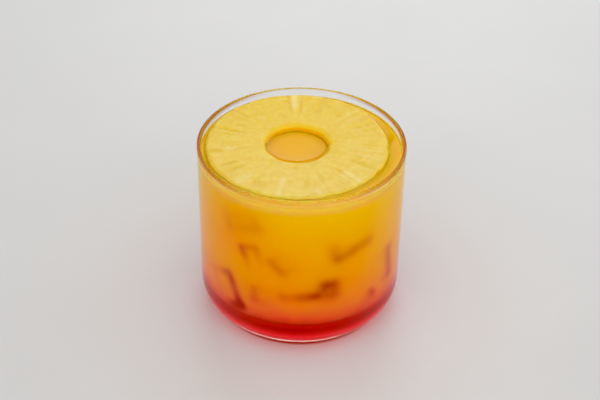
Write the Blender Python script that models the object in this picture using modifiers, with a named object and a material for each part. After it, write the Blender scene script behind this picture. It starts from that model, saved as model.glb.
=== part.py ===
"""A tumbler of layered fruit punch with a pineapple ring floating in it.

The tumbler stands on z = 0, its axis is the z axis, and the front is towards -y.
Lengths are in metres.
"""
import math
import random

import bpy
from mathutils import Matrix, Vector

# Tumbler: a straight wall, a rounded heel and a thick base
GLASS_HEIGHT = 0.082
GLASS_RADIUS = 0.045
WALL = 0.0017
BASE_THICKNESS = 0.006
HEEL_WIDTH = 0.012
HEEL_HEIGHT = 0.013
INNER_HEEL_WIDTH = 0.0095
INNER_HEEL_HEIGHT = 0.0100

# Drink: red syrup at the bottom, yellow punch above it
SYRUP_TOP = 0.0165
FREE_HEIGHT = 0.0043
DRINK_LEVEL = GLASS_HEIGHT - FREE_HEIGHT
CLEARANCE = 0.0003

# Pineapple ring: floats off centre, its back edge a little higher
RING_RADIUS = 0.0394
RING_HOLE_RADIUS = 0.0134
RING_THICKNESS = 0.0090
RING_EDGE_ROUND = 0.0013
RING_TOP = GLASS_HEIGHT - 0.0018
RING_CENTRE = Vector((-0.0019, 0.0013, RING_TOP - RING_THICKNESS / 2))
RING_TILT = math.radians(1.0)

# Relief of the cut fruit: wedges with grooves between them, nicks in the rim, fine fibres
WEDGES = 15
GROOVE_DEPTH = 0.0006
GROOVE_HALF_WIDTH = 0.0011
GROOVE_INNER_RADIUS = 0.0185
GROOVE_START_SPREAD = 0.008
GROOVE_RUN_IN = 0.006
WEDGE_SPREAD = 0.28
NICK_DEPTH = 0.0008
NICK_HALF_WIDTH = 0.0034
FIBRES = 40
FIBRE_BENDS = 5
FIBRE_DEPTH = 0.00014
HOLE_WAVES = 9
HOLE_WAVE_DEPTH = 0.0003
EDGE_FADE = 4
FACE_FADE = 6
SEED = 7

# Facets of the turned shapes
TURNED_STEPS = 72
RING_STEPS = 132
HEEL_STEPS = 7
RIM_STEPS = 6
RING_CORNER_STEPS = 3
RING_FACE_STEPS = 6
MERGE_DISTANCE = 0.00001

INNER_RADIUS = GLASS_RADIUS - WALL
PARTS = "glass_of_punch"
CUTTERS = "cutters"


def clear_scene():
    for old in list(bpy.data.objects):
        bpy.data.objects.remove(old, do_unlink=True)


def new_collection(name):
    collection = bpy.data.collections.new(name)
    bpy.context.scene.collection.children.link(collection)
    return collection


def principled(name, colour, roughness, transmission=0.0):
    material = bpy.data.materials.new(name)
    material.use_nodes = True
    shader = material.node_tree.nodes["Principled BSDF"]
    shader.inputs["Base Color"].default_value = (*colour, 1.0)
    shader.inputs["Roughness"].default_value = roughness
    shader.inputs["Metallic"].default_value = 0.0
    shader.inputs["Transmission Weight"].default_value = transmission
    return material


def glass_material():
    return principled("clear_glass", (0.95, 0.96, 0.96), 0.03, transmission=1.0)


def grenadine_material():
    return principled("red_syrup", (0.36, 0.006, 0.005), 0.15)


def punch_material():
    return principled("yellow_punch", (0.79, 0.34, 0.01), 0.15)


def pineapple_material():
    return principled("pineapple_flesh", (0.83, 0.59, 0.13), 0.3)


def arc(centre, radii, start, end, steps):
    """Points (r, z) on an elliptical arc, angles in degrees, both ends included."""
    points = []
    for step in range(steps + 1):
        angle = math.radians(start + (end - start) * step / steps)
        points.append((centre[0] + radii[0] * math.cos(angle), centre[1] + radii[1] * math.sin(angle)))
    return points


def turned(name, profile, steps, collection, closed=False):
    """A profile in the xz plane, turned once about the z axis by a Screw modifier."""
    mesh = bpy.data.meshes.new(name)
    edges = [(i, i + 1) for i in range(len(profile) - 1)]
    if closed:
        edges.append((len(profile) - 1, 0))
    mesh.from_pydata([(radius, 0.0, height) for radius, height in profile], edges, [])
    item = bpy.data.objects.new(name, mesh)
    collection.objects.link(item)
    screw = item.modifiers.new("turn", "SCREW")
    screw.axis = "Z"
    screw.angle = 2 * math.pi
    screw.steps = steps
    screw.render_steps = steps
    screw.use_merge_vertices = True
    screw.merge_threshold = MERGE_DISTANCE
    screw.use_smooth_shade = True
    return item


def with_applied_modifiers(item):
    """Gives an object its evaluated mesh, so that later steps can work on it."""
    depsgraph = bpy.context.evaluated_depsgraph_get()
    mesh = bpy.data.meshes.new_from_object(item.evaluated_get(depsgraph))
    item.modifiers.clear()
    item.data = mesh
    return item


def inner_heel(clearance):
    """The bend between the inner floor and the inner wall, from the wall down to the floor."""
    centre = (INNER_RADIUS - INNER_HEEL_WIDTH, BASE_THICKNESS + INNER_HEEL_HEIGHT)
    radii = (INNER_HEEL_WIDTH - clearance, INNER_HEEL_HEIGHT - clearance)
    return arc(centre, radii, 0, -90, HEEL_STEPS)


def make_glass(collection):
    """Turned from the middle of the inner floor, up the inner wall, over the rim and down outside."""
    profile = [(0.0, BASE_THICKNESS)]
    profile += reversed(inner_heel(0.0))
    profile += arc((GLASS_RADIUS - WALL / 2, GLASS_HEIGHT - WALL / 2), (WALL / 2, WALL / 2), 180, 0, RIM_STEPS)
    profile += arc((GLASS_RADIUS - HEEL_WIDTH, HEEL_HEIGHT), (HEEL_WIDTH, HEEL_HEIGHT), 0, -90, HEEL_STEPS + 2)
    profile += [(0.0, 0.0)]
    glass = turned("glass", profile, TURNED_STEPS, collection)
    glass.data.materials.append(glass_material())
    return glass


def make_grenadine(collection):
    """The red syrup that has sunk to the inner floor."""
    wall_radius = INNER_RADIUS - CLEARANCE
    profile = [(0.0, SYRUP_TOP), (wall_radius, SYRUP_TOP)]
    profile += inner_heel(CLEARANCE)
    profile += [(0.0, BASE_THICKNESS + CLEARANCE)]
    grenadine = turned("grenadine", profile, TURNED_STEPS, collection)
    grenadine.data.materials.append(grenadine_material())
    return grenadine


def make_punch(collection, pocket):
    """The yellow drink, from the syrup up to its level, cut round the pineapple ring."""
    wall_radius = INNER_RADIUS - CLEARANCE
    floor = SYRUP_TOP + CLEARANCE
    profile = [(0.0, DRINK_LEVEL), (wall_radius, DRINK_LEVEL), (wall_radius, floor), (0.0, floor)]
    punch = turned("punch", profile, TURNED_STEPS, collection)
    cut = punch.modifiers.new("pocket", "BOOLEAN")
    cut.operation = "DIFFERENCE"
    cut.solver = "EXACT"
    cut.object = pocket
    punch.data.materials.append(punch_material())
    return punch


def ring_placement():
    return Matrix.Translation(RING_CENTRE) @ Matrix.Rotation(RING_TILT, 4, "X")


def make_ring_pocket(collection):
    """The ring's plain outline with clearance round it, open upwards."""
    outer = RING_RADIUS + CLEARANCE
    inner = RING_HOLE_RADIUS - CLEARANCE
    bottom = -RING_THICKNESS / 2 - CLEARANCE
    top = RING_THICKNESS
    profile = [(outer, top), (outer, bottom), (inner, bottom), (inner, top)]
    pocket = turned("ring_pocket", profile, TURNED_STEPS, collection, closed=True)
    pocket.matrix_world = ring_placement()
    pocket.hide_render = True
    pocket.display_type = "WIRE"
    return pocket


def ring_profile():
    """A rectangle with rounded corners: down the outside, in, up the hole and back out."""
    half = RING_THICKNESS / 2
    low = half - RING_EDGE_ROUND
    outer = RING_RADIUS - RING_EDGE_ROUND
    inner = RING_HOLE_RADIUS + RING_EDGE_ROUND
    corner = (RING_EDGE_ROUND, RING_EDGE_ROUND)
    profile = arc((outer, low), corner, 90, 0, RING_CORNER_STEPS)
    profile += arc((outer, -low), corner, 0, -90, RING_CORNER_STEPS)
    profile += arc((inner, -low), corner, 270, 180, RING_CORNER_STEPS)
    profile += arc((inner, low), corner, 180, 90, RING_CORNER_STEPS)
    for step in range(1, RING_FACE_STEPS):
        profile.append((inner + (outer - inner) * step / RING_FACE_STEPS, half))
    return profile


def bump(distance, half_width):
    """1 at no distance, falling smoothly to 0 at the half width."""
    if abs(distance) >= half_width:
        return 0.0
    return math.cos(math.pi / 2 * distance / half_width) ** 2


def wave(count, angle, bends):
    """An uneven ripple round the ring, from 0 to 1."""
    return 0.5 + 0.5 * math.sin(count * angle + 2 * math.sin(bends * angle))


class Wedge:
    """The border between two of the fruit's wedges, with its own groove and nick."""

    def __init__(self, index, draw):
        self.angle = 2 * math.pi * (index + draw.uniform(-WEDGE_SPREAD, WEDGE_SPREAD)) / WEDGES
        self.groove = GROOVE_DEPTH * draw.uniform(0.3, 1.0)
        self.nick = NICK_DEPTH * draw.uniform(0.15, 1.0)
        self.start = GROOVE_INNER_RADIUS + draw.uniform(0.0, GROOVE_START_SPREAD)

    def across(self, angle, radius):
        """Distance along the circle from this border."""
        turn = (angle - self.angle + math.pi) % (2 * math.pi) - math.pi
        return turn * radius


def carve_ring(mesh):
    """Moves the plain ring's points inwards to the cut fruit's uneven surface."""
    draw = random.Random(SEED)
    wedges = [Wedge(index, draw) for index in range(WEDGES)]
    half = RING_THICKNESS / 2
    for vertex in mesh.vertices:
        x, y, z = vertex.co
        radius = math.hypot(x, y)
        angle = math.atan2(y, x)
        outward = (radius - RING_HOLE_RADIUS) / (RING_RADIUS - RING_HOLE_RADIUS)
        groove = 0.0
        nick = 0.0
        for wedge in wedges:
            across = wedge.across(angle, radius)
            reach = min(1.0, max(0.0, (radius - wedge.start) / GROOVE_RUN_IN))
            groove = max(groove, wedge.groove * reach * bump(across, GROOVE_HALF_WIDTH))
            nick = max(nick, wedge.nick * bump(across, NICK_HALF_WIDTH))
        sunk = groove + FIBRE_DEPTH * wave(FIBRES, angle, FIBRE_BENDS) * outward
        hole = HOLE_WAVE_DEPTH * wave(HOLE_WAVES, angle, 2)
        moved = radius - nick * max(0.0, outward) ** EDGE_FADE + hole * max(0.0, 1 - outward) ** EDGE_FADE
        vertex.co.x = x * moved / radius
        vertex.co.y = y * moved / radius
        vertex.co.z = z - math.copysign(sunk * min(1.0, abs(z) / half) ** FACE_FADE, z)


def make_pineapple_ring(collection):
    ring = turned("pineapple_ring", ring_profile(), RING_STEPS, collection, closed=True)
    ring = with_applied_modifiers(ring)
    carve_ring(ring.data)
    ring.data.transform(ring_placement())
    ring.data.materials.append(pineapple_material())
    return ring


def main():
    clear_scene()
    parts = new_collection(PARTS)
    cutters = new_collection(CUTTERS)
    make_glass(parts)
    make_grenadine(parts)
    make_punch(parts, make_ring_pocket(cutters))
    make_pineapple_ring(parts)


main()
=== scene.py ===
"""A low tumbler of layered fruit punch, with ice sunk in it and a pineapple ring floating on top."""
import math
import random

import bmesh
import bpy
from mathutils import Matrix, Vector, geometry, noise


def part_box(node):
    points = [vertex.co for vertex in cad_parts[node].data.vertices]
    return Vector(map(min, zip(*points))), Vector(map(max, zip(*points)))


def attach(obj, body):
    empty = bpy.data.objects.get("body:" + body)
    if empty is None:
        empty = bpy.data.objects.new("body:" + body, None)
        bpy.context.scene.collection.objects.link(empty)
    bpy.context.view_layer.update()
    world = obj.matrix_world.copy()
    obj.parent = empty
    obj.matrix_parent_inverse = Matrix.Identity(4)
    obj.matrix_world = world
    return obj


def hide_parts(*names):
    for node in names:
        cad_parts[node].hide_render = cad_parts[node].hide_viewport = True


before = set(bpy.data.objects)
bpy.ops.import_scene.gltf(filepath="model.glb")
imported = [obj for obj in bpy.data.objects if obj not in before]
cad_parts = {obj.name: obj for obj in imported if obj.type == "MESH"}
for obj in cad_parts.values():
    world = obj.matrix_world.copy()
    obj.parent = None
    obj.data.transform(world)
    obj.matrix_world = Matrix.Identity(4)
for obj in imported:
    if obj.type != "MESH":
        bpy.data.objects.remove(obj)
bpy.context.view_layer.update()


# The tumbler is clear soda-lime glass, machine-blown with a straight wall, a rounded heel and a
# thick flat base. Its rim was melted smooth in a flame, so it is fully round.
glass_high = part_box("glass")[1]
GLASS_HEIGHT = glass_high.z
GLASS_RADIUS = glass_high.x
WALL = 0.0017
BASE_THICKNESS = 0.006
HEEL_WIDTH = 0.012
HEEL_HEIGHT = 0.013
INNER_HEEL_WIDTH = 0.0095
INNER_HEEL_HEIGHT = 0.0100
INNER_RADIUS = GLASS_RADIUS - WALL
GLASS_TURN = 256
GLASS_BEND_STEPS = 24
INNER_HEEL_STEPS = 16
MERGE_DISTANCE = 1e-7
CLEAR_GLASS = (0.980, 0.990, 0.987)
CLEARER_GLASS = (0.990, 0.994, 0.993)
GLASS_CLOUDING = 25.0
RIM_GLASS = (0.50, 0.25, 0.30)
RIM_TINT_START = GLASS_HEIGHT - 0.0022
RIM_TINT_FULL = GLASS_HEIGHT - 0.0010
SIDE_TINT_START = 0.012
SIDE_TINT_FULL = 0.042
GLASS_IOR = 1.5
GLASS_SHINE = (0.14, 0.14, 0.14, 1.0)


def arc(centre, radii, start, end, steps):
    """Points (r, z) on an elliptical arc, angles in degrees, both ends included."""
    turns = [math.radians(start + (end - start) * step / steps) for step in range(steps + 1)]
    return [(centre[0] + radii[0] * math.cos(t), centre[1] + radii[1] * math.sin(t)) for t in turns]


def turned(profile, steps):
    """A profile of (r, z) points spun once round the z axis, closed at its poles."""
    bm = bmesh.new()
    points = [bm.verts.new((radius, 0.0, height)) for radius, height in profile]
    edges = [bm.edges.new(pair) for pair in zip(points, points[1:])]
    bmesh.ops.spin(bm, geom=points + edges, cent=(0, 0, 0), axis=(0, 0, 1), angle=2 * math.pi,
                   steps=steps, use_merge=True, use_duplicate=False)
    bmesh.ops.remove_doubles(bm, verts=bm.verts, dist=MERGE_DISTANCE)
    bmesh.ops.recalc_face_normals(bm, faces=bm.faces)
    return bm


def finished(bm, name, material):
    """The bmesh as a smooth-shaded object at the origin."""
    mesh = bpy.data.meshes.new(name)
    bm.to_mesh(mesh)
    bm.free()
    mesh.shade_smooth()
    mesh.materials.append(material)
    piece = bpy.data.objects.new(name, mesh)
    bpy.context.scene.collection.objects.link(piece)
    return piece


def new_material(name):
    """A node material with its Principled shader."""
    material = bpy.data.materials.new(name)
    material.use_nodes = True
    return material, material.node_tree, material.node_tree.nodes["Principled BSDF"]


def own_place(tree):
    """Outputs X, Y and Z of the piece's own coordinates, in metres."""
    split = tree.nodes.new("ShaderNodeSeparateXYZ")
    tree.links.new(tree.nodes.new("ShaderNodeTexCoord").outputs["Object"], split.inputs["Vector"])
    return split.outputs


def combined(tree, operation, *values):
    """Output of a Math node for sockets and numbers."""
    node = tree.nodes.new("ShaderNodeMath")
    node.operation = operation
    for socket, value in zip(node.inputs, values):
        if isinstance(value, (int, float)):
            socket.default_value = value
        else:
            tree.links.new(value, socket)
    return node.outputs[0]


def blended(tree, share, first, second):
    """Output of a colour Mix node; either colour may be a socket."""
    node = tree.nodes.new("ShaderNodeMix")
    node.data_type = "RGBA"
    tree.links.new(share, node.inputs["Factor"])
    for socket, colour in ((node.inputs["A"], first), (node.inputs["B"], second)):
        if isinstance(colour, tuple):
            socket.default_value = (*colour, 1.0)
        else:
            tree.links.new(colour, socket)
    return node.outputs["Result"]


def uneven(tree, scale, detail, vector=None):
    """Output of a Noise texture in the piece's own coordinates, or along another vector."""
    node = tree.nodes.new("ShaderNodeTexNoise")
    node.inputs["Scale"].default_value = scale
    node.inputs["Detail"].default_value = detail
    if vector is None:
        vector = tree.nodes.new("ShaderNodeTexCoord").outputs["Object"]
    tree.links.new(vector, node.inputs["Vector"])
    return node.outputs["Fac"]


def eased(tree, value, start, end):
    """Output of a Map Range node: 0 at the start, 1 at the end, eased between."""
    node = tree.nodes.new("ShaderNodeMapRange")
    node.interpolation_type = "SMOOTHSTEP"
    node.inputs["From Min"].default_value = start
    node.inputs["From Max"].default_value = end
    tree.links.new(value, node.inputs["Value"])
    return node.outputs["Result"]


def glass_material():
    """Clear glass, a little uneven; at the sides the rim is reddish with light led up the wall."""
    material, tree, shader = new_material("clear_glass")
    place = own_place(tree)
    side = eased(tree, combined(tree, "ABSOLUTE", place["X"]), SIDE_TINT_START, SIDE_TINT_FULL)
    rim = eased(tree, place["Z"], RIM_TINT_START, RIM_TINT_FULL)
    clear = blended(tree, uneven(tree, GLASS_CLOUDING, 1.0), CLEAR_GLASS, CLEARER_GLASS)
    colour = blended(tree, combined(tree, "MULTIPLY", side, rim), clear, RIM_GLASS)
    tree.links.new(colour, shader.inputs["Base Color"])
    shader.inputs["Roughness"].default_value = 0.0
    shader.inputs["IOR"].default_value = GLASS_IOR
    shader.inputs["Transmission Weight"].default_value = 1.0
    shader.inputs["Specular Tint"].default_value = GLASS_SHINE
    return material


def inner_heel(reach):
    """The bend from the inner wall to the inner floor, moved out into the glass by reach."""
    centre = (INNER_RADIUS - INNER_HEEL_WIDTH, BASE_THICKNESS + INNER_HEEL_HEIGHT)
    radii = (INNER_HEEL_WIDTH + reach, INNER_HEEL_HEIGHT + reach)
    return arc(centre, radii, 0, -90, INNER_HEEL_STEPS)


rim_middle = (GLASS_RADIUS - WALL / 2, GLASS_HEIGHT - WALL / 2)
heel_middle = (GLASS_RADIUS - HEEL_WIDTH, HEEL_HEIGHT)
glass_profile = [(0.0, BASE_THICKNESS)] + inner_heel(0.0)[::-1]
glass_profile += arc(rim_middle, (WALL / 2, WALL / 2), 180, 0, GLASS_BEND_STEPS)
glass_profile += arc(heel_middle, (HEEL_WIDTH, HEEL_HEIGHT), 0, -90, GLASS_BEND_STEPS)
glass_profile += [(0.0, 0.0)]
tumbler = finished(turned(glass_profile, GLASS_TURN), "tumbler", glass_material())
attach(tumbler, "root")
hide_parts("glass")


# The red syrup has sunk to the tumbler's floor. A faint painted glow, strongest at the floor, stands for
# light that has come down through the drink. It reaches just into the glass, as a liquid does, with no
# air between.
REACH = 0.0002
DRINK_TURN = 192
SYRUP_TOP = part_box("grenadine")[1].z
SYRUP_SHADES = ((0.44, 0.0001, 0.0100), (0.58, 0.0002, 0.0140))
SYRUP_SWIRL = 60.0
SYRUP_TOP_SHADE = (0.74, 0.012, 0.022)
SYRUP_TOP_FADE = 0.0035
PAINTED_SYRUP_GLOW = (1.0, 0.010, 0.040, 1.0)
GLOW_AT_FLOOR = 0.40
GLOW_ABOVE = 0.03
GLOW_HEIGHT = 0.006
LIQUID_ROUGHNESS = 0.5
LIGHT_DEPTH = 0.004
SYRUP_LIGHT_REACH = (1.0, 0.2, 0.2)
wall_radius = INNER_RADIUS + REACH


def spread_light(shader, reach, depth):
    """Light spreads under the surface; reach is the share of the depth for red, green and blue."""
    shader.inputs["Subsurface Weight"].default_value = 1.0
    shader.inputs["Subsurface Radius"].default_value = reach
    shader.inputs["Subsurface Scale"].default_value = depth


def liquid_inside(shader, reach):
    """A cloudy liquid that lies behind glass or clear juice, so it has no shine of its own."""
    shader.inputs["Roughness"].default_value = LIQUID_ROUGHNESS
    shader.inputs["Specular IOR Level"].default_value = 0.0
    spread_light(shader, reach, LIGHT_DEPTH)


def syrup_material():
    """Deep red in faint swirls, lighter just under its top, with a painted glow towards the floor."""
    material, tree, shader = new_material("red_syrup")
    height = own_place(tree)["Z"]
    swirls = blended(tree, uneven(tree, SYRUP_SWIRL, 2.0), SYRUP_SHADES[0], SYRUP_SHADES[1])
    near_top = eased(tree, height, SYRUP_TOP - SYRUP_TOP_FADE, SYRUP_TOP)
    tree.links.new(blended(tree, near_top, swirls, SYRUP_TOP_SHADE), shader.inputs["Base Color"])
    liquid_inside(shader, SYRUP_LIGHT_REACH)
    # Painted light: the syrup emits red, most at the floor, for light that has come down through the
    # drink.
    glow = tree.nodes.new("ShaderNodeMapRange")
    glow.inputs["From Min"].default_value = BASE_THICKNESS
    glow.inputs["From Max"].default_value = BASE_THICKNESS + GLOW_HEIGHT
    glow.inputs["To Min"].default_value = GLOW_AT_FLOOR
    glow.inputs["To Max"].default_value = GLOW_ABOVE
    tree.links.new(height, glow.inputs["Value"])
    tree.links.new(glow.outputs["Result"], shader.inputs["Emission Strength"])
    shader.inputs["Emission Color"].default_value = PAINTED_SYRUP_GLOW
    return material


syrup_profile = [(0.0, SYRUP_TOP), (wall_radius, SYRUP_TOP)]
syrup_profile += inner_heel(REACH)
syrup_profile += [(0.0, BASE_THICKNESS - REACH)]
syrup = finished(turned(syrup_profile, DRINK_TURN), "red_syrup", syrup_material())
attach(syrup, "root")
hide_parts("grenadine")


# The ice is in pieces of cracked cube, frozen clear with a cloudy middle. They lie against the glass
# under the surface, where they show only as darker edges, painted as shade into the cloudy drink.
ICE_BEVEL = 0.0012
ICE_BEVEL_STEPS = 3
ICE_IOR = 1.31
ICE_SHINE_ROUGHNESS = 0.06
ICE_CLEARNESS = 0.9
ICE_CRACKS = 260.0
FROSTED_ICE = (0.80, 0.86, 0.90)
WHITE_ICE = (0.97, 0.98, 0.99)
# Each row has the two ends of the edge at the glass, as degrees from the front, height and depth
# behind the wall; degrees and height of a point that the piece's face leans towards; its breadth
# and depth; its lean in degrees; and how far the painted shade along its edges reaches into the drink.
ICE_PIECES = (
    ((-42.8, 0.0356, 0.0002), (-35.0, 0.0205, 0.0002), (-58.0, 0.030), 0.0110, 0.0110, 13.0, 0.0022),
    ((-8.5, 0.0312, 0.0020), (11.0, 0.0324, 0.0006), (3.0, 0.052), 0.0160, 0.0120, 36.0, 0.0027),
    ((14.6, 0.0326, 0.0006), (15.0, 0.0370, 0.0006), (28.0, 0.034), 0.0026, 0.0080, 0.0, 0.0034),
    ((21.6, 0.0514, 0.0010), (40.0, 0.0552, 0.0026), (31.0, 0.066), 0.0130, 0.0130, 40.0, 0.0030),
    ((58.6, 0.0430, 0.0020), (60.4, 0.0285, 0.0014), (44.0, 0.034), 0.0100, 0.0120, 32.0, 0.0028),
    ((44.0, 0.0260, 0.0017), (46.0, 0.0240, 0.0017), (45.0, 0.018), 0.0040, 0.0050, 45.0, 0.0020),
    ((-33.2, 0.0530, 0.0006), (-25.0, 0.0550, 0.0014), (-34.6, 0.040), 0.0120, 0.0090, 11.0, 0.0019),
    ((-25.6, 0.0335, 0.0024), (-25.9, 0.0270, 0.0022), (-12.0, 0.028), 0.0060, 0.0050, 20.0, 0.0024),
    ((-41.0, 0.0610, 0.0030), (-24.0, 0.0655, 0.0034), (-34.0, 0.070), 0.0050, 0.0080, 36.0, 0.0032),
    ((-15.5, 0.0495, 0.0024), (-9.5, 0.0440, 0.0022), (-6.0, 0.050), 0.0060, 0.0060, 40.0, 0.0026),
)


def at_wall(turn, height, depth=0.0):
    """A point inside the tumbler, turn degrees from the front, so deep behind the wall."""
    away = INNER_RADIUS - depth
    return Vector((away * math.sin(math.radians(turn)), -away * math.cos(math.radians(turn)), height))


def ice_axes(first, second, side, breadth, depth, lean):
    """A corner of the piece and its three edges; the first edge is the one next to the glass."""
    start = at_wall(*first)
    along = at_wall(*second) - start
    unit = along.normalized()
    across = at_wall(*side) - start
    across = (across - across.dot(unit) * unit).normalized()
    inward = unit.cross(across)
    if inward.x * start.x + inward.y * start.y > 0:
        inward.negate()
    lean = math.radians(lean)
    face = across * math.cos(lean) + inward * math.sin(lean)
    back = inward * math.cos(lean) - across * math.sin(lean)
    return start, along, face * breadth, back * depth


def ice_material():
    """Clear ice with fine cracks that make it whiter in places."""
    material, tree, shader = new_material("cracked_ice")
    frost = blended(tree, uneven(tree, ICE_CRACKS, 4.0), FROSTED_ICE, WHITE_ICE)
    tree.links.new(frost, shader.inputs["Base Color"])
    shader.inputs["Roughness"].default_value = ICE_SHINE_ROUGHNESS
    shader.inputs["IOR"].default_value = ICE_IOR
    shader.inputs["Transmission Weight"].default_value = ICE_CLEARNESS
    return material


ice_look = ice_material()
ice_edges = []
for number, (*sizes, show) in enumerate(ICE_PIECES, 1):
    corner, *sides = ice_axes(*sizes)
    cube = bmesh.new()
    bmesh.ops.create_cube(cube, size=1.0)
    for vert in cube.verts:
        shares = [0.5 + value for value in vert.co]
        vert.co = corner + sum((side * share for side, share in zip(sides, shares)), Vector())
    cube.normal_update()
    bmesh.ops.recalc_face_normals(cube, faces=cube.faces)
    ice_edges += [(edge.verts[0].co.copy(), edge.verts[1].co.copy(), show) for edge in cube.edges]
    bmesh.ops.bevel(cube, geom=cube.edges[:], offset=ICE_BEVEL, offset_type="OFFSET",
                    segments=ICE_BEVEL_STEPS, profile=0.5, affect="EDGES", material=-1)
    ice = finished(cube, f"ice_{number}", ice_look)
    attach(ice, "root")


# The cloudy drink is fruit juice stirred over the syrup: yellow under the ring, orange further down
# and red where it meets the syrup. The pineapple ring hangs in a pocket of its surface.
RING_RADIUS = 0.0394
RING_HOLE_RADIUS = 0.0134
RING_THICKNESS = 0.0090
RING_BELOW_RIM = 0.0018
RING_MIDDLE = Vector((-0.0019, 0.0013, GLASS_HEIGHT - RING_BELOW_RIM - RING_THICKNESS / 2))
INTO_RING = 0.0010
INTO_UNDERSIDE = 0.0015
INTO_SYRUP = 0.0006
FREE_HEIGHT = 0.0043
CLEARED = 0.0014
DRINK_LEVEL = GLASS_HEIGHT - FREE_HEIGHT
CLOUD_TOP = DRINK_LEVEL - CLEARED
CLOUD_BOTTOM = SYRUP_TOP - INTO_SYRUP
LEVEL_SLACK = 0.0001
WALL_SLACK = 0.001
FOLLOW_FULL = RING_RADIUS + 0.0005
FOLLOW_END = wall_radius - 0.0001
FOLLOW_ABOVE = CLOUD_BOTTOM + 0.02
BESIDE_RING = (-0.0002, 0.0004)
FRONT_START = 0.1
FRONT_FULL = 0.75
LEFT_START = 0.005
LEFT_FULL = 0.025
FRONT_RISE = 0.0011
HEAP = 0.0012
HEAP_REACH = 0.0013
HEAP_FROM_HOLE = 0.001
CLOUD_RAMP = (
    (0.000, (0.55, 0.0010, 0.0200)),
    (0.015, (0.72, 0.0120, 0.0300)),
    (0.019, (0.92, 0.1400, 0.0700)),
    (0.024, (0.97, 0.3400, 0.0650)),
    (0.034, (0.98, 0.4700, 0.0200)),
    (0.048, (0.98, 0.5700, 0.0040)),
    (0.060, (0.98, 0.6200, 0.0040)),
    (0.072, (0.98, 0.6700, 0.0040)),
    (0.080, (0.98, 0.7400, 0.0020)),
)
CLOUD_SPAN = 0.080
CLOUD_DRIFT = 0.004
CLOUD_LIGHT_REACH = (1.0, 0.45, 0.1)
DRIFT_SCALE = 45.0
# Painted shade: deep red mixed into the drink along the ice edges, and a little by the ring.
ICE_SHADE = (0.42, 0.015, 0.003)
ICE_SHADE_SHARE = 0.85
ICE_SHADE_LIFT = 0.015
ICE_SHADE_BREAKS = 95.0
ICE_SHADE_LEAST = 0.6
BREAKS_START = -0.35
BREAKS_FULL = 0.15
BREAKS_PLACE = Vector((3.1, 0.4, 0.0))
# Painted sheen: the drink's top is made paler where it meets the ring at the front and on the left.
PAINTED_SHEEN_EDGE = (0.97, 0.64, 0.14)
SHEEN_DEPTH = 0.0035
SHEEN_AT_FRONT = 0.85
SHEEN_AT_LEFT = 0.6
# Painted shade: the upper left front of the drink is coloured more orange, on the side away from the
# light.
LEFT_SHADE_RISE = 0.019
LEFT_SHADE_TURN = -42
LEFT_SHADE_WIDTH = 28
LEFT_SHADE_FROM = 0.040
LEFT_SHADE_FULL = 0.056
# Painted shade on the drink's top in the ring's hole and in a crescent right of the ring.
COLLAR_SHADE = 0.06
COLLAR_START = 0.0092
COLLAR_FULL = 0.0118
CRESCENT_SHADE = 0.04
CRESCENT_LIFT = -0.006
CRESCENT_WIDTH = 0.0022
CRESCENT_FADE = 0.0012
CRESCENT_RUN_IN = 0.02
CLOUD_STEPS = (16, 5, 8, 5, 8, 64, 1)


def straight(corners, steps):
    """Points (r, z) through the corners, each stretch between two cut into its number of steps."""
    points = [corners[0]]
    for start, end, count in zip(corners, corners[1:], steps):
        for step in range(1, count):
            share = step / count
            points.append([a + (b - a) * share for a, b in zip(start, end)])
        points.append(end)
    return points


def smooth(value, start, end):
    """0 before the start, 1 after the end, eased between."""
    share = min(1.0, max(0.0, (value - start) / (end - start)))
    return share * share * (3 - 2 * share)


def own_value(tree, name):
    """The value stored on the mesh's points under this name."""
    stored = tree.nodes.new("ShaderNodeAttribute")
    stored.attribute_name = name
    return stored.outputs["Fac"]


def store(piece, name, values):
    """One value for each point of the mesh, for the material to read."""
    piece.data.attributes.new(name, "FLOAT", "POINT").data.foreach_set("value", values)


def cloud_material():
    """Colour by height; stored values add painted shade at ice and fruit and a pale painted sheen."""
    material, tree, shader = new_material("cloudy_juice")
    drift = combined(tree, "MULTIPLY_ADD", uneven(tree, DRIFT_SCALE, 2.0), 2 * CLOUD_DRIFT, -CLOUD_DRIFT)
    height = combined(tree, "ADD", own_place(tree)["Z"], drift)
    # Stored painted shade moves the colour along the height ramp.
    height = combined(tree, "SUBTRACT", height, own_value(tree, "painted_shade_lift"))
    ramp = tree.nodes.new("ShaderNodeValToRGB")
    ramp.color_ramp.interpolation = "B_SPLINE"
    stops = ramp.color_ramp.elements
    while len(stops) < len(CLOUD_RAMP):
        stops.new(0.5)
    for stop, (level, colour) in zip(stops, CLOUD_RAMP):
        stop.position = level / CLOUD_SPAN
        stop.color = (*colour, 1.0)
    tree.links.new(combined(tree, "DIVIDE", height, CLOUD_SPAN), ramp.inputs["Fac"])
    colour = blended(tree, own_value(tree, "painted_shade_mix"), ramp.outputs["Color"], ICE_SHADE)
    colour = blended(tree, own_value(tree, "pale"), colour, PAINTED_SHEEN_EDGE)
    tree.links.new(colour, shader.inputs["Base Color"])
    liquid_inside(shader, CLOUD_LIGHT_REACH)
    return material


def from_ring(point):
    """How far a point is from the upright line through the ring's middle."""
    return math.hypot(point.x - RING_MIDDLE.x, point.y - RING_MIDDLE.y)


def follow_ring(bm):
    """Circles round the glass's axis become circles round the ring, except near the wall."""
    for vert in bm.verts:
        stay = 1 - smooth(math.hypot(vert.co.x, vert.co.y), FOLLOW_FULL, FOLLOW_END)
        if vert.co.z > FOLLOW_ABOVE:
            vert.co.x += RING_MIDDLE.x * stay
            vert.co.y += RING_MIDDLE.y * stay


def front_share(point):
    """1 at the front of the glass, 0 from its sides on."""
    away = math.hypot(point.x, point.y) or 1.0
    return smooth(-point.y / away, FRONT_START, FRONT_FULL)


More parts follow.
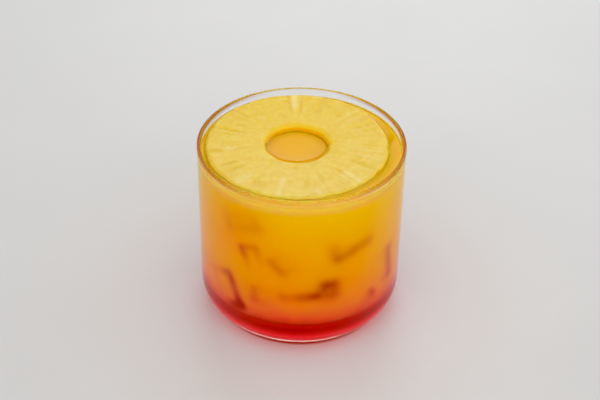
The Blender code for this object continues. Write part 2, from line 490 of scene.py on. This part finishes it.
def heaped(away):
    """How much higher the cloudy drink stands against the outside of the fruit."""
    if away < hole_edge + HEAP_FROM_HOLE:
        return 0.0
    return HEAP * math.exp(-max(0.0, away - RING_RADIUS) / HEAP_REACH)


def edge_shade(point):
    """How strongly the painted shade of an ice edge shows at this point of the drink's wall."""
    shade = 0.0
    for first, second, show in ice_edges:
        near, share = geometry.intersect_point_line(point, first, second)
        near = first.lerp(second, min(1.0, max(0.0, share)))
        shade = max(shade, math.exp(-((point - near).length / show) ** 2))
    breaks = noise.noise(point * ICE_SHADE_BREAKS + BREAKS_PLACE)
    whole = smooth(breaks, BREAKS_START, BREAKS_FULL)
    return shade * (ICE_SHADE_LEAST + (1 - ICE_SHADE_LEAST) * whole)


def painted_shade_lift(point):
    """How far the colour moves towards orange on the upper left front: painted shade away from the light.
    """
    turn = math.degrees(math.atan2(point.x, -point.y))
    around = math.exp(-((turn - LEFT_SHADE_TURN) / LEFT_SHADE_WIDTH) ** 2)
    return LEFT_SHADE_RISE * around * smooth(point.z, LEFT_SHADE_FROM, LEFT_SHADE_FULL)


hole_edge = RING_HOLE_RADIUS + INTO_RING
ring_edge = RING_RADIUS - INTO_RING
ring_underside = RING_MIDDLE.z - RING_THICKNESS / 2 + INTO_UNDERSIDE
cloud_corners = (
    (0.0, CLOUD_TOP),
    (hole_edge, CLOUD_TOP),
    (hole_edge, ring_underside),
    (ring_edge, ring_underside),
    (ring_edge, CLOUD_TOP),
    (wall_radius, CLOUD_TOP),
    (wall_radius, CLOUD_BOTTOM),
    (0.0, CLOUD_BOTTOM),
)
cloud = turned(straight(cloud_corners, CLOUD_STEPS), DRINK_TURN)
follow_ring(cloud)
painted_sheens = []
for vert in cloud.verts:
    away = from_ring(vert.co)
    beside_ring = smooth(away, ring_edge + BESIDE_RING[0], ring_edge + BESIDE_RING[1])
    in_front = beside_ring * front_share(vert.co)
    at_left = beside_ring * smooth(-vert.co.x, LEFT_START, LEFT_FULL)
    at_top = smooth(vert.co.z, CLOUD_TOP - SHEEN_DEPTH, CLOUD_TOP)
    painted_sheens.append(at_top * max(SHEEN_AT_FRONT * in_front, SHEEN_AT_LEFT * at_left))
    if vert.co.z > CLOUD_TOP - LEVEL_SLACK:
        vert.co.z += FRONT_RISE * in_front + heaped(away)
drink = finished(cloud, "cloudy_drink", cloud_material())
painted_shade_marks, lifts = [], []
for vert in drink.data.vertices:
    away = from_ring(vert.co)
    mark, lift = 0.0, 0.0
    if math.hypot(vert.co.x, vert.co.y) > wall_radius - WALL_SLACK:
        shade = edge_shade(vert.co)
        mark = ICE_SHADE_SHARE * shade
        lift = painted_shade_lift(vert.co) + ICE_SHADE_LIFT * shade
    # Painted shade on the drink's top near the hole's wall, then in the crescent beside the ring.
    if vert.co.z > CLOUD_TOP - LEVEL_SLACK and away < hole_edge:
        mark = COLLAR_SHADE * smooth(away, COLLAR_START, COLLAR_FULL)
    if vert.co.z > CLOUD_TOP - LEVEL_SLACK and away > ring_edge - LEVEL_SLACK:
        crescent = smooth(RING_RADIUS + CRESCENT_WIDTH - away, 0.0, CRESCENT_FADE)
        crescent *= smooth(vert.co.x, 0.0, CRESCENT_RUN_IN)
        mark += CRESCENT_SHADE * crescent
        lift += CRESCENT_LIFT * crescent
    painted_shade_marks.append(mark)
    lifts.append(lift)
store(drink, "pale", painted_sheens)
store(drink, "painted_shade_mix", painted_shade_marks)
store(drink, "painted_shade_lift", lifts)
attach(drink, "root")
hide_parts("punch")


# The juice that has cleared at the surface is see-through and deep yellow. It creeps up the glass
# and the fruit in a small curve, and wets the fruit's sides.
WALL_CREEP = (0.0006, 0.0007)
RING_CREEP = (0.0011, 0.0016)
HOLE_CREEP = (0.0014, 0.0024)
INTO_CLOUD = 0.0003
JUICE_IOR = 1.34
JUICE_SHINE = (0.4, 0.4, 0.4, 1.0)
JUICE_TINT = (0.999, 0.95, 0.1, 1.0)
JUICE_TINT_DENSITY = 600.0
JUICE_STEPS = (110, 1, 1)


def clear_juice_material():
    """A clear yellow liquid: a smooth surface round a volume that takes the blue out of the light."""
    material, tree, shader = new_material("clear_juice")
    shader.inputs["Base Color"].default_value = (1.0, 1.0, 1.0, 1.0)
    shader.inputs["Roughness"].default_value = 0.0
    shader.inputs["IOR"].default_value = JUICE_IOR
    shader.inputs["Specular Tint"].default_value = JUICE_SHINE
    shader.inputs["Transmission Weight"].default_value = 1.0
    tint = tree.nodes.new("ShaderNodeVolumeAbsorption")
    tint.inputs["Color"].default_value = JUICE_TINT
    tint.inputs["Density"].default_value = JUICE_TINT_DENSITY
    tree.links.new(tint.outputs["Volume"], tree.nodes["Material Output"].inputs["Volume"])
    return material


def creep(point):
    """How far the surface has crept up at the wall and at the ring's two edges."""
    away = from_ring(point)
    to_wall = max(0.0, INNER_RADIUS - math.hypot(point.x, point.y))
    height = WALL_CREEP[0] * math.exp(-to_wall / WALL_CREEP[1])
    for edge, (rise, spread) in ((away - RING_RADIUS, RING_CREEP), (RING_HOLE_RADIUS - away, HOLE_CREEP)):
        height += rise * math.exp(-abs(edge) / spread)
    return height


clear_radius = INNER_RADIUS + REACH / 2
below_cloud = CLOUD_TOP - INTO_CLOUD
clear_corners = (
    (0.0, DRINK_LEVEL),
    (clear_radius, DRINK_LEVEL),
    (clear_radius, below_cloud),
    (0.0, below_cloud),
)
clear = turned(straight(clear_corners, JUICE_STEPS), DRINK_TURN)
follow_ring(clear)
for vert in clear.verts:
    if vert.co.z > DRINK_LEVEL - LEVEL_SLACK:
        vert.co.z += creep(vert.co)
clear_juice = finished(clear, "clear_juice", clear_juice_material())
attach(clear_juice, "root")


# The pineapple ring is a slice of the peeled and cored fruit, cut by machine: wedges of fibrous
# flesh with grooves between them run out from the core to the nicked edge, wet with juice.
RING_TILT = math.radians(1.0)
RING_TURN = 360
SEED = 7
WEDGES = 15
WEDGE_SPREAD = 0.28
GROOVE_DEPTH = 0.0006
GROOVE_SHARE = 0.55
GROOVE_LEAST = 0.3
GROOVE_HALF_WIDTH = 0.0015
GROOVE_INNER_RADIUS = 0.0185
GROOVE_START_SPREAD = 0.008
GROOVE_RUN_IN = 0.006
NICK_DEPTH = 0.0008
NICK_HALF_WIDTH = 0.0034
NICK_LEAST = 0.15
FIBRES = 40
FIBRE_BENDS = 5
FIBRE_DEPTH = 0.00008
THREAD_DEPTH = 0.00004
THREAD_RUN_IN = 0.3
FINER_GRAIN = 2.1
HOLE_WAVES = 9
HOLE_WAVE_DEPTH = 0.0003
CUT_EDGE = 0.0013
HOLE_EDGE = 0.0022
CUT_EDGE_STEPS = 6
HOLE_FOOT_STEPS = 4
HOLE_EDGE_STEPS = 8
SIDE_STEPS = 8
UNDERSIDE_STEPS = 16
HOLE_SIDE_STEPS = 6
FACE_STEPS = 60
EDGE_FADE = 4
FACE_FADE = 6
SPOT_FADE = 0.002
# Each streak has its direction in degrees, its two ends from the middle, its half width and strength.
PALE_SPOTS = (
    (93.0, 0.027, 0.040, 0.0026, 1.0),
    (-170.0, 0.026, 0.032, 0.0024, 0.8),
    (-100.8, 0.026, 0.040, 0.0022, 1.0),
    (-130.0, 0.030, 0.039, 0.0032, 0.7),
    (-46.0, 0.028, 0.039, 0.0026, 0.8),
    (-75.7, 0.033, 0.039, 0.0020, 0.5),
    (45.0, 0.022, 0.038, 0.0012, 0.5),
    (37.0, 0.024, 0.036, 0.0010, 0.4),
    (-9.0, 0.022, 0.037, 0.0012, 0.4),
    (-17.0, 0.023, 0.036, 0.0010, 0.4),
)
DEEP_SPOTS = (
    (-151.0, 0.030, 0.037, 0.0017, 0.9),
    (-169.0, 0.033, 0.039, 0.0020, 0.8),
    (87.0, 0.024, 0.041, 0.0008, 1.0),
    (34.0, 0.032, 0.040, 0.0030, 0.7),
    (140.0, 0.030, 0.040, 0.0020, 0.5),
    (-27.0, 0.026, 0.038, 0.0012, 0.6),
)
BACK_FLESH = (0.82, 0.56, 0.010)
# Painted light: the front of the slice is paler and lighter, as the light falls there.
PAINTED_LIT_FRONT_FLESH = (0.87, 0.64, 0.150)
MOTTLED_FLESH = (0.76, 0.50, 0.004)
GRITTY_FLESH = (0.91, 0.73, 0.20)
LIGHT_FIBRE = (0.87, 0.66, 0.08)
PALE_FLESH = (0.91, 0.72, 0.28)
DEEP_FLESH = (0.74, 0.46, 0.012)
# Painted light: the flesh round the hole is a lighter deep yellow, lightest down its wall, to lift its
# shade.
HOLE_PAINTED_LIGHT_FLESH = (0.84, 0.58, 0.015)
SUNK_PAINTED_LIGHT_FLESH = (0.95, 0.82, 0.010)
# Painted light: the slice's outer side is made lighter, to lift the shade in the gap by the glass.
SIDE_PAINTED_LIGHT_FLESH = (0.94, 0.60, 0.060)
MOTTLE_SHARE = 0.55
GRIT_SHARE = 0.45
LIGHT_FIBRE_SHARE = 0.16
PALE_SHARE = 0.8
DEEP_SHARE = 0.8
GROOVE_DEEP_SHARE = 0.4
HOLE_LIGHT_SHARE = 0.8
FRONT_GAIN = -15.0
FRONT_SHIFT = 0.45
GRIT_SCALE = 460.0
MOTTLE_SCALE = 190.0
CLOUDING_SCALE = 110.0
CLOUDING_SHIFT = -0.5
THREAD_SCALE = 9.0
FINE_THREAD_SCALE = 30.0
MOTTLE_STRETCH = (3.0, -1.0)
GRIT_STRETCH = (3.2, -1.35)
THREAD_STRETCH = (2.2, -0.75)
FINE_THREAD_STRETCH = (1.2, -0.6)
GRAIN_STRETCH = 8
GRAIN_AROUND = 26
GRAIN_OUTWARD = 90
RIDGE_STRENGTH = 0.15
RIDGE_HEIGHT = 0.0002
FLESH_SHINE = 0.3
FLESH_ROUGHNESS = (0.3, 0.15)
FLESH_LIGHT_DEPTH = 0.0035
FLESH_LIGHT_REACH = (1.0, 0.6, 0.25)
IN_HOLE = (0.0001, 0.0018)
BELOW_FACE = (0.0008, 0.0030)
SIDE_LIGHT_EDGE = (0.0007, 0.0002)
ring_place = Matrix.Translation(RING_MIDDLE) @ Matrix.Rotation(RING_TILT, 4, "X")
ring_draw = random.Random(SEED)
wedges = []
for number in range(WEDGES):
    turn = 2 * math.pi * (number + ring_draw.uniform(-WEDGE_SPREAD, WEDGE_SPREAD)) / WEDGES
    groove = GROOVE_SHARE * GROOVE_DEPTH * ring_draw.uniform(GROOVE_LEAST, 1.0)
    nick = NICK_DEPTH * ring_draw.uniform(NICK_LEAST, 1.0)
    start = GROOVE_INNER_RADIUS + ring_draw.uniform(0.0, GROOVE_START_SPREAD)
    wedges.append((turn, groove, nick, start))


def bump(distance, half_width):
    """1 at no distance, falling smoothly to 0 at the half width."""
    return 0.0 if abs(distance) >= half_width else math.cos(math.pi / 2 * distance / half_width) ** 2


def across_ring(turn, other, radius):
    """Distance along the circle between two directions."""
    return ((turn - other + math.pi) % (2 * math.pi) - math.pi) * radius


def spot_strength(spots, turn, radius):
    """How strongly one of the marked streaks shows here."""
    strength = 0.0
    for angle, start, end, half_width, most in spots:
        sideways = bump(across_ring(turn, math.radians(angle), radius), half_width)
        begun = smooth(radius, start - SPOT_FADE, start + SPOT_FADE)
        ended = smooth(radius, end - SPOT_FADE, end + SPOT_FADE / 2)
        strength = max(strength, most * sideways * begun * (1 - ended))
    return strength


def ring_outline():
    """The slice's section: down the outside, in, up the hole and back out, with rounded corners."""
    half = RING_THICKNESS / 2
    low = half - CUT_EDGE
    outer = RING_RADIUS - CUT_EDGE
    inner = RING_HOLE_RADIUS + CUT_EDGE
    hole_corner = (RING_HOLE_RADIUS + HOLE_EDGE, half - HOLE_EDGE)
    outline = arc((outer, low), (CUT_EDGE, CUT_EDGE), 90, 0, CUT_EDGE_STEPS)[:-1]
    outline += straight(((RING_RADIUS, low), (RING_RADIUS, -low)), (SIDE_STEPS,))[:-1]
    outline += arc((outer, -low), (CUT_EDGE, CUT_EDGE), 0, -90, CUT_EDGE_STEPS)[:-1]
    outline += straight(((outer, -half), (inner, -half)), (UNDERSIDE_STEPS,))[:-1]
    outline += arc((inner, -low), (CUT_EDGE, CUT_EDGE), 270, 180, HOLE_FOOT_STEPS)[:-1]
    hole_side = ((RING_HOLE_RADIUS, -low), (RING_HOLE_RADIUS, hole_corner[1]))
    outline += straight(hole_side, (HOLE_SIDE_STEPS,))[:-1]
    outline += arc(hole_corner, (HOLE_EDGE, HOLE_EDGE), 180, 90, HOLE_EDGE_STEPS)[:-1]
    return outline + straight(((hole_corner[0], half), outline[0]), (FACE_STEPS,))


def carved(x, y, z):
    """Where a point of the plain ring lies on the cut fruit, and how deep its groove is."""
    radius = math.hypot(x, y)
    turn = math.atan2(y, x)
    outward = (radius - RING_HOLE_RADIUS) / (RING_RADIUS - RING_HOLE_RADIUS)
    sunk = 0.0
    notch = 0.0
    for border, groove, nick, start in wedges:
        aside = across_ring(turn, border, radius)
        reach = smooth(radius, start, start + GROOVE_RUN_IN)
        sunk = max(sunk, groove * reach * bump(aside, GROOVE_HALF_WIDTH))
        notch = max(notch, nick * bump(aside, NICK_HALF_WIDTH))
    around = Vector((math.cos(turn), math.sin(turn), 0.0)) * GRAIN_AROUND
    grain = around + Vector((0.0, 0.0, radius * GRAIN_OUTWARD))
    fibre = 0.5 + 0.5 * math.sin(FIBRES * turn + 2 * math.sin(FIBRE_BENDS * turn))
    thread = 0.5 + 0.5 * noise.noise(grain) + 0.25 * noise.noise(grain * FINER_GRAIN)
    wave = 0.5 + 0.5 * math.sin(HOLE_WAVES * turn + 2 * math.sin(2 * turn))
    down = sunk + FIBRE_DEPTH * fibre * outward
    down += THREAD_DEPTH * thread * smooth(outward, 0.0, THREAD_RUN_IN)
    moved = radius - notch * max(0.0, outward) ** EDGE_FADE
    moved += HOLE_WAVE_DEPTH * wave * max(0.0, 1 - outward) ** EDGE_FADE
    lowered = z - math.copysign(down * min(1.0, abs(z) / (RING_THICKNESS / 2)) ** FACE_FADE, z)
    return Vector((x * moved / radius, y * moved / radius, lowered)), sunk / GROOVE_DEPTH


def stretched(tree, value, gain, shift):
    """A value times a gain plus a shift, kept between 0 and 1."""
    node = tree.nodes.new("ShaderNodeClamp")
    tree.links.new(combined(tree, "MULTIPLY_ADD", value, gain, shift), node.inputs["Value"])
    return node.outputs["Result"]


def pineapple_material():
    """Fibres run out from the core; stored values mark pale wedges and deep yellow grooves."""
    material, tree, shader = new_material("pineapple_flesh")
    grain = tree.nodes.new("ShaderNodeAttribute")
    grain.attribute_name = "grain"
    threads = uneven(tree, THREAD_SCALE, 3.0, grain.outputs["Vector"])
    fine = uneven(tree, FINE_THREAD_SCALE, 2.0, grain.outputs["Vector"])
    clouds = uneven(tree, CLOUDING_SCALE, 3.0)
    # Painted light: the flesh turns paler and lighter towards the front, with random clouding.
    front = combined(tree, "MULTIPLY_ADD", own_place(tree)["Y"], FRONT_GAIN, FRONT_SHIFT)
    front = stretched(tree, combined(tree, "ADD", front, clouds), 1.0, CLOUDING_SHIFT)
    flesh = blended(tree, front, BACK_FLESH, PAINTED_LIT_FRONT_FLESH)
    mottle = stretched(tree, uneven(tree, MOTTLE_SCALE, 2.0), *MOTTLE_STRETCH)
    flesh = blended(tree, combined(tree, "MULTIPLY", mottle, MOTTLE_SHARE), flesh, MOTTLED_FLESH)
    grit = stretched(tree, uneven(tree, GRIT_SCALE, 1.0), *GRIT_STRETCH)
    flesh = blended(tree, combined(tree, "MULTIPLY", grit, GRIT_SHARE), flesh, GRITTY_FLESH)
    streaks = combined(tree, "MULTIPLY_ADD", threads, *THREAD_STRETCH)
    fine_streaks = combined(tree, "MULTIPLY_ADD", fine, *FINE_THREAD_STRETCH)
    streaks = combined(tree, "ADD", streaks, fine_streaks)
    light = combined(tree, "MULTIPLY", stretched(tree, streaks, 1.0, 0.0), LIGHT_FIBRE_SHARE)
    flesh = blended(tree, light, flesh, LIGHT_FIBRE)
    # The hole's and the outer side's stored values are painted light.
    for name, colour in (("pale", PALE_FLESH), ("deep", DEEP_FLESH), ("painted_hole_light", HOLE_PAINTED_LIGHT_FLESH),
                         ("depth", SUNK_PAINTED_LIGHT_FLESH), ("painted_side_light", SIDE_PAINTED_LIGHT_FLESH)):
        flesh = blended(tree, own_value(tree, name), flesh, colour)
    tree.links.new(flesh, shader.inputs["Base Color"])
    ridges = tree.nodes.new("ShaderNodeBump")
    ridges.inputs["Strength"].default_value = RIDGE_STRENGTH
    ridges.inputs["Distance"].default_value = RIDGE_HEIGHT
    tree.links.new(streaks, ridges.inputs["Height"])
    tree.links.new(ridges.outputs["Normal"], shader.inputs["Normal"])
    roughness = combined(tree, "MULTIPLY_ADD", clouds, *FLESH_ROUGHNESS)
    tree.links.new(roughness, shader.inputs["Roughness"])
    shader.inputs["Specular IOR Level"].default_value = FLESH_SHINE
    spread_light(shader, FLESH_LIGHT_REACH, FLESH_LIGHT_DEPTH)
    return material


flesh = turned(ring_outline(), RING_TURN)
grains = []
looks = {"pale": [], "deep": [], "painted_hole_light": [], "depth": [], "painted_side_light": []}
for vert in flesh.verts:
    radius = math.hypot(vert.co.x, vert.co.y)
    turn = math.atan2(vert.co.y, vert.co.x)
    in_hole = 1 - smooth(radius, RING_HOLE_RADIUS + IN_HOLE[0], RING_HOLE_RADIUS + IN_HOLE[1])
    below_face = smooth(RING_THICKNESS / 2 - vert.co.z, *BELOW_FACE)
    vert.co, groove_share = carved(*vert.co)
    grains += [math.cos(turn), math.sin(turn), radius * GRAIN_STRETCH]
    deep = GROOVE_DEEP_SHARE * groove_share + DEEP_SHARE * spot_strength(DEEP_SPOTS, turn, radius)
    looks["pale"].append(PALE_SHARE * spot_strength(PALE_SPOTS, turn, radius))
    looks["deep"].append(min(1.0, deep))
    # Painted light round the hole, lightest down its wall below the face.
    looks["painted_hole_light"].append(HOLE_LIGHT_SHARE * in_hole)
    looks["depth"].append(in_hole * below_face)
    # Painted light on the slice's outer side.
    looks["painted_side_light"].append(smooth(radius, RING_RADIUS - SIDE_LIGHT_EDGE[0], RING_RADIUS - SIDE_LIGHT_EDGE[1]))
bmesh.ops.transform(flesh, matrix=ring_place, verts=flesh.verts)
pineapple = finished(flesh, "pineapple_slice", pineapple_material())
pineapple.data.attributes.new("grain", "FLOAT_VECTOR", "POINT").data.foreach_set("vector", grains)
for name, values in looks.items():
    store(pineapple, name, values)
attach(pineapple, "root")
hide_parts("pineapple_ring")


# The drink stands on a plain pale tabletop, smooth and faintly clouded. Light that comes out of the
# tumbler's base tints it red right under the glass.
TABLE_SHADES = ((0.665, 0.665, 0.665), (0.715, 0.715, 0.71))
TABLE_CLOUDING = 14.0
TABLE_ROUGHNESS = 0.45
TABLE_HALF_SIZE = 3.0
TABLE_GAP = 0.0001
RED_LIT_TABLE = (0.36, 0.02, 0.02)
RED_LIGHT_FULL = 0.0376
RED_LIGHT_END = 0.0396


def tabletop_material():
    """Pale and faintly clouded, red within the foot of the glass."""
    material, tree, shader = new_material("pale_tabletop")
    clouding = blended(tree, uneven(tree, TABLE_CLOUDING, 4.0), TABLE_SHADES[0], TABLE_SHADES[1])
    away = tree.nodes.new("ShaderNodeVectorMath")
    away.operation = "LENGTH"
    tree.links.new(tree.nodes.new("ShaderNodeTexCoord").outputs["Object"], away.inputs[0])
    under = eased(tree, away.outputs["Value"], RED_LIGHT_END, RED_LIGHT_FULL)
    tree.links.new(blended(tree, under, clouding, RED_LIT_TABLE), shader.inputs["Base Color"])
    shader.inputs["Roughness"].default_value = TABLE_ROUGHNESS
    return material


top = bmesh.new()
bmesh.ops.create_grid(top, x_segments=1, y_segments=1, size=TABLE_HALF_SIZE,
                      matrix=Matrix.Translation((0, 0, -TABLE_GAP)))
tabletop = finished(top, "tabletop", tabletop_material())


# Soft daylight comes from all round, brighter in front and on the right. Behind, where the flat
# drink mirrors the room, it is darker round one lighter patch, and a round window adds a highlight.
SKY_SHADE = (0.88, 0.88, 0.88)
SKY_STRENGTH = 0.87
MIRRORED = (0.03, 0.83, 0.55)
# Each patch has its direction, its brightness, and the cosines of the angles at which it ends and
# at which it is full.
SKY_PATCHES = (
    ((0.60, 0.20, 0.75), 1.10, 0.35, 0.95),
    ((0.0, -0.95, 0.25), 1.50, 0.30, 0.90),
    (MIRRORED, 0.15, 0.70, 0.88),
    (MIRRORED, 0.55, 0.975, 0.990),
)
WINDOW_PLACE = (0.10, 0.80, 0.60)
WINDOW_SIZE = 0.9
WINDOW_ENERGY = 2.6
GLASS_MIDDLE = Vector((0, 0, 0.04))
world = bpy.data.worlds.new("daylight")
bpy.context.scene.world = world
world.use_nodes = True
sky = world.node_tree
sky_direction = sky.nodes.new("ShaderNodeTexCoord").outputs["Generated"]


def sky_patch(around, direction, brightness, end, full):
    """Blends a soft round patch of another brightness into the sky around it."""
    towards = sky.nodes.new("ShaderNodeVectorMath")
    towards.operation = "DOT_PRODUCT"
    towards.inputs[1].default_value = Vector(direction).normalized()
    sky.links.new(sky_direction, towards.inputs[0])
    share = eased(sky, towards.outputs["Value"], end, full)
    return blended(sky, share, around, (brightness, brightness, brightness))


sky_colour = SKY_SHADE
for patch in SKY_PATCHES:
    sky_colour = sky_patch(sky_colour, *patch)
sky.links.new(sky_colour, sky.nodes["Background"].inputs["Color"])
sky.nodes["Background"].inputs["Strength"].default_value = SKY_STRENGTH

window_data = bpy.data.lights.new("window", "AREA")
window_data.shape = "DISK"
window_data.size = WINDOW_SIZE
window_data.energy = WINDOW_ENERGY
window = bpy.data.objects.new("window", window_data)
window.location = WINDOW_PLACE
window.rotation_euler = (Vector(WINDOW_PLACE) - GLASS_MIDDLE).to_track_quat("Z", "Y").to_euler()
bpy.context.scene.collection.objects.link(window)


# The camera looks down at the glass from its front, at the angle of an eye above the table. Its
# picture keeps a plain response, with a slight black level that deepens the yellows and reds.
CAMERA_PLACE = Vector((0.0, -0.44345, 0.37427))
CAMERA_DOWN = 0.63039
CAMERA_YAW = 0.00082
CAMERA_ROLL = 0.01572
FOCAL_PIXELS = 1238.5
IMAGE_WIDTH_PIXELS = 600
SENSOR_WIDTH = 36.0
NEAREST_SEEN = 0.01
BLACK_LEVEL = (0.0, 0.008, 0.02)
eye_data = bpy.data.cameras.new("eye")
eye_data.sensor_width = SENSOR_WIDTH
eye_data.lens = FOCAL_PIXELS / IMAGE_WIDTH_PIXELS * SENSOR_WIDTH
eye_data.clip_start = NEAREST_SEEN
eye = bpy.data.objects.new("eye", eye_data)
look = Matrix.Rotation(CAMERA_YAW, 4, "Z") @ Matrix.Rotation(math.pi / 2 - CAMERA_DOWN, 4, "X")
eye.matrix_world = Matrix.Translation(CAMERA_PLACE) @ look @ Matrix.Rotation(CAMERA_ROLL, 4, "Z")
bpy.context.scene.collection.objects.link(eye)
bpy.context.scene.camera = eye
view = bpy.context.scene.view_settings
view.view_transform = "Standard"
view.use_curve_mapping = True
view.curve_mapping.black_level = BLACK_LEVEL
light_paths = bpy.context.scene.cycles
light_paths.max_bounces = 32
light_paths.transmission_bounces = 32
light_paths.glossy_bounces = 16
light_paths.diffuse_bounces = 8
light_paths.blur_glossy = 0.0
